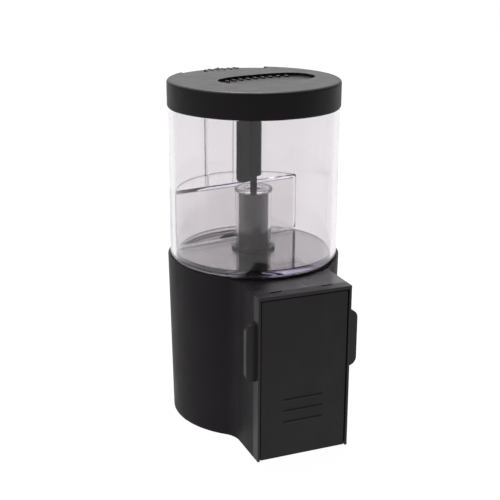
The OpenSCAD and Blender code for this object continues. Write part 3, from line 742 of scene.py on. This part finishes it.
def make_stirrer():
    low = STIRRER_LOW.z
    neck = SPINDLE_HIGH.z
    journal = LID_LOW.z - 0.3
    profile = rounded([
        (0.5, low, 0), (PLUG_STEM_R, low, 0.4), (PLUG_STEM_R, neck, 0.2), (STEM_LOW_R, neck, 0.3),
        (STEM_LOW_R, STEM_STEP, 0.3), (STEM_HIGH_R, STEM_STEP, 0.5), (STEM_HIGH_R, journal, 0.4),
        (JOURNAL_R, journal, 0.2), (JOURNAL_R, STIRRER_HIGH.z, 0.5), (0.5, STIRRER_HIGH.z, 0)],
        closed=False)
    paddle = as_object(revolve(profile, closed=False, steps=64), "stirrer_paddle")
    side = rounded([
        (0.5, BLADE_FOOT, 0), (BLADE_OUT, BLADE_FOOT, 2.2), (BLADE_OUT, BLADE_TOP, 1.0),
        (0.5, BLADE_TOP, 0)], steps=6)
    wing = loft([[(x, y, z) for x, z in side] for y in (-BLADE_T / 2, BLADE_T / 2)])
    combine(paddle, wing, "UNION")
    soften_edges(paddle, 0.35)
    paddle.data.transform(Matrix.Rotation(STIRRER_TURN, 4, "Z"))
    place(paddle, "rotor", "black_shell", STIRRER, "stirrer")


# ---------------------------------------------------------------- base

def housing_section(z):
    """The housing's whole outline at one height, as 3-D points."""
    radius = FOOT_R + (RIM_R - FOOT_R) * z / RIM_Z
    fillet_x = BOX_X + FILLET_R
    fillet_y = -math.sqrt((radius + FILLET_R) ** 2 - fillet_x ** 2)
    meet = math.atan2(fillet_y, fillet_x)
    round_steps = 120
    bend_steps = 12
    wall = [meet + (math.pi - 2 * meet) * i / round_steps for i in range(round_steps + 1)]
    points = [(radius * math.cos(t), radius * math.sin(t)) for t in wall]
    # Fillet on the left, the seam's two corners, and the fillet on the right
    bend = [math.pi + meet * (1 - i / bend_steps) for i in range(1, bend_steps + 1)]
    fillet = [(fillet_x + FILLET_R * math.cos(t), fillet_y + FILLET_R * math.sin(t)) for t in bend]
    points += [(-x, y) for x, y in fillet]
    points += [(-BOX_X, SEAM_Y), (BOX_X, SEAM_Y)]
    points += list(reversed(fillet))
    return [(x, y, z) for x, y in points]


def make_housing():
    housing = as_object(loft([housing_section(z) for z in (0, RIM_Z)]), "housing_shell")
    # The box stops a little below the rim
    in_front = rectangle(-60, 60, -80, 0)
    cutter = as_object(prism(in_front, BOX_TOP, RIM_Z + 2), "cutter")
    combine(cutter, cylinder(RIM_R, BOX_TOP - 1, RIM_Z + 3, steps=240))
    top = bmesh.new()
    top.from_mesh(cutter.data)
    bpy.data.objects.remove(cutter)
    combine(housing, top)
    # Round cavity, and the seat and groove for the hopper
    wall_top_r = RIM_R - BASE_WALL - 0.15
    cavity = revolve([(FOOT_R - BASE_WALL, -0.5), (wall_top_r, COLLAR_UNDER), (COLLAR_R, COLLAR_UNDER),
                      (COLLAR_R, DECK_UNDER)], closed=False)
    seat = revolve([(GROOVE_IN_R, DECK_TOP), (GROOVE_IN_R, GROOVE_FLOOR), (GROOVE_OUT_R, GROOVE_FLOOR),
                    (GROOVE_OUT_R, RIM_Z + 1)], closed=False)
    combine(housing, joined([cavity, seat]))
    # Battery compartment
    inner_x = BOX_X - BOX_WALL
    back_y = -(RIM_R + 0.6)
    combine(housing, block((-inner_x, SEAM_Y - 1, -1), (inner_x, back_y, BOX_TOP - 1.95)))
    combine(housing, block((-inner_x, back_y - 0.1, -1), (inner_x, -25, COLLAR_UNDER)))
    # Holes for the shaft, the outlet, the button and the light
    holes = [cylinder(2 * SHAFT_R, DECK_UNDER - 1, DECK_TOP + 1),
             moved(cylinder(CHUTE_R + 0.4, DECK_UNDER - 1, DECK_TOP + 1), at(0, OUTLET_Y)),
             along_x(cylinder(BUTTON_R + 0.3, 30, 42), 0, 0, BUTTON_Z),
             along_x(cylinder(LIGHT_R + 0.1, 30, 42, steps=32), 0, 0, LIGHT_Z)]
    combine(housing, joined(holes))
    soften_edges(housing, 0.45)
    place(housing, "base", "black_shell", SHELL, "base_housing")
    # Polished deck under the disc, and satin roof of the battery box
    housing.data.materials.append(GLOSS)
    housing.data.materials.append(SATIN)
    for face in housing.data.polygons:
        if abs(face.center.z / MM - DECK_TOP) < 0.02 and face.center.xy.length / MM < GROOVE_IN_R:
            face.material_index = 1
        if abs(face.center.z / MM - BOX_TOP) < 0.02 and face.normal.z > 0.9:
            face.material_index = 2


def make_frame():
    frame_piece = as_object(block((-BOX_X, FRONT_Y, 0), (BOX_X, SEAM_Y, BOX_TOP)), "battery_bezel")
    ear_low = EAR_MID - EAR_H / 2
    ear_high = EAR_MID + EAR_H / 2
    ears = []
    for side in (-1, 1):
        out = side * FRAME_HIGH.x
        inner = side * (BOX_X - 2)
        plan = rounded([(inner, ear_low, 0), (out, ear_low, 3.5), (out, ear_high, 3.5),
                        (inner, ear_high, 0)], steps=8)
        ears.append(loft([[(x, y, z) for x, z in plan] for y in (EAR_FRONT, EAR_BACK - 0.01)]))
    combine(frame_piece, joined(ears), "UNION")
    # Recess for the cover, open at the underside, and the window to the cells
    recess_x = COVER_X + COVER_GAP
    recess_top = COVER_HIGH.z + COVER_GAP
    ledge_y = COVER_BACK + 0.05
    combine(frame_piece, block((-recess_x, FRONT_Y - 1, -1), (recess_x, ledge_y, recess_top)))
    window_top = TRAY_HIGH.z + 1
    combine(frame_piece, block((-WINDOW_X, FRONT_Y - 1, BOTTOM_T), (WINDOW_X, SEAM_Y + 1, window_top)))
    # Tracks for the cover's guides, slots over the snap hooks, and a notch above each ear
    cuts = []
    for side in (-1, 1):
        track = side * GUIDE_X
        slot = side * SLOT_X
        edge = side * BOX_X
        cuts.append(block((track - 0.5, ledge_y - 1, -1), (track + 0.5, ledge_y + 1.4, COVER_HIGH.z)))
        cuts.append(block((slot - 2.5, SEAM_Y - 1.2, BOX_TOP - 1.2),
                          (slot + 2.5, SEAM_Y - 0.2, BOX_TOP + 1)))
        cuts.append(block((edge - 0.6, SEAM_Y - 1.1, ear_high + 0.1),
                          (edge + 0.6, SEAM_Y - 0.2, ear_high + 1.1)))
    combine(frame_piece, joined(cuts))
    soften_edges(frame_piece, 0.3)
    place(frame_piece, "base", "black_shell", FRAME, "battery_frame")


def make_cover():
    front = COVER_FRONT
    back = COVER_BACK
    panel = as_object(block((-COVER_X, front, COVER_LOW.z), (COVER_X, back, COVER_HIGH.z)), "cover_panel")
    ribs = []
    for i in range(GRIP_RIBS):
        rib = rounded_rib(GRIP_W, 1.1, RIB_PROUD + 0.3, 0.4)
        ribs.append(moved(rib, at(0, front + 0.3, GRIP_LOW_Z + i * GRIP_PITCH, math.pi / 2, "X")))
    combine(panel, joined(ribs), "UNION")
    guides = []
    for side in (-1, 1):
        guide = side * GUIDE_X
        guides.append(block((guide - 0.3, back - 0.1, COVER_LOW.z + 2),
                            (guide + 0.3, COVER_HIGH.y, COVER_HIGH.z - 8)))
    combine(panel, joined(guides), "UNION")
    soften_edges(panel, 0.25)
    place(panel, "battery_door", "black_cover", COVER, "battery_cover")


# ---------------------------------------------------------------- stage, light and camera

def make_floor():
    bm = bmesh.new()
    bmesh.ops.create_circle(bm, cap_ends=True, segments=96, radius=8)
    floor = as_object(bm, "floor")
    floor.location.z = -0.0002
    recipe = Recipe("floor_white", roughness=0.9)
    tone = recipe.noise(0.4, detail=2)
    recipe.colour(recipe.mixed(recipe.ranged(tone, 0, 1), (0.03, 0.0298, 0.03), (0.034, 0.0338, 0.034)))
    recipe.set("Specular IOR Level", 0.0)
    recipe.set("Emission Color", (1, 1, 1, 1))
    # Glow that is weaker in front of the object, so the clear jar stays free of glare
    depth = recipe.add("ShaderNodeMapping")
    depth.inputs["Rotation"].default_value = (0, 0, -CAMERA_AZIMUTH)
    split = recipe.add("ShaderNodeSeparateXYZ")
    ramp = recipe.add("ShaderNodeValToRGB")
    ramp.color_ramp.elements[0].color = (0.6, 0.6, 0.6, 1)
    ramp.color_ramp.elements[1].color = (1, 1, 1, 1)
    for position in (0.105, 0.4):
        ramp.color_ramp.elements.new(position).color = (0.98, 0.98, 0.98, 1)
    recipe.link(recipe.place, depth.inputs["Vector"])
    recipe.link(depth.outputs["Vector"], split.inputs["Vector"])
    recipe.link(recipe.ranged(split.outputs["Y"], 0, 1, -0.3, 1.5), ramp.inputs["Fac"])
    recipe.link(ramp.outputs["Color"], recipe.shader.inputs["Emission Strength"])
    floor.data.materials.append(recipe.material)


def softbox(name, centre, width, height, power):
    """A soft rectangular light that faces the object and isn't seen itself."""
    light = bpy.data.lights.new(name, "AREA")
    light.shape = "RECTANGLE"
    light.size = width
    light.size_y = height
    light.energy = power
    obj = bpy.data.objects.new(name, light)
    bpy.context.scene.collection.objects.link(obj)
    obj.location = centre
    obj.rotation_euler = (MIDDLE - Vector(centre)).to_track_quat("-Z", "Y").to_euler()
    obj.visible_camera = False


def make_lights():
    world = bpy.data.worlds.new("studio")
    bpy.context.scene.world = world
    world.use_nodes = True
    background = world.node_tree.nodes["Background"]
    background.inputs["Color"].default_value = (1, 1, 1, 1)
    background.inputs["Strength"].default_value = 0.22
    softbox("back_light", (0.45, 1.2, 0.62), 1.9, 0.9, 6.5)
    softbox("top_light", (0.05, 0.35, 1.1), 0.5, 0.5, 40)
    softbox("key_light", (-1.3, -0.2, 1.1), 0.9, 0.9, 8)


def make_camera():
    data = bpy.data.cameras.new("camera")
    data.sensor_width = 36
    data.lens = CAMERA_LENS
    data.clip_start = 0.01
    camera = bpy.data.objects.new("camera", data)
    bpy.context.scene.collection.objects.link(camera)
    camera.matrix_world = (Matrix.Translation(CAMERA_PLACE)
                           @ Matrix.Rotation(CAMERA_AZIMUTH, 4, "Z")
                           @ Matrix.Rotation(math.pi / 2 - CAMERA_PITCH, 4, "X")
                           @ Matrix.Rotation(CAMERA_ROLL, 4, "Z"))
    bpy.context.scene.camera = camera


make_camera()
make_floor()
make_lights()
make_lid()
make_hopper()
make_disc()
make_spindle()
make_sleeve()
make_stirrer()
make_housing()
make_frame()
make_cover()

# CAD nodes that keep their own mesh
CARRIED = {
    "bottom_cover": SHELL, "cover_screws": STEEL, "battery_tray": SHELL, "battery_cells": CELL,
    "contact_plates": STEEL, "contact_springs": STEEL, "circuit_board": BOARD, "tact_switch": GREY,
    "status_led": LENS, "feed_button": GREY, "motor": STEEL, "motor_shaft": STEEL,
    "motor_pinion": GEAR, "motor_screws": STEEL, "lower_gear_plate": GREY, "upper_gear_plate": GREY,
    "plate_spacers": GEAR, "plate_screws": STEEL, "gear_axle": STEEL, "compound_gear": GEAR,
    "output_gear": GEAR, "drive_shaft": STEEL, "shaft_clip": STEEL, "shaft_bushings": BRASS,
    "outlet_chute": SHELL, "hopper_seal": RUBBER, "lid_seal": RUBBER,
}
for node, material in CARRIED.items():
    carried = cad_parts[node]
    carried.data.materials.clear()
    carried.data.materials.append(material)

view = bpy.context.scene.view_settings
view.view_transform = "Standard"
view.look = "None"
view.exposure = 0
view.gamma = 1

# Enough bounces for light to cross the clear walls
cycles = bpy.context.scene.cycles
cycles.max_bounces = 16
cycles.transmission_bounces = 14
cycles.transparent_max_bounces = 8
cycles.glossy_bounces = 6
cycles.diffuse_bounces = 3
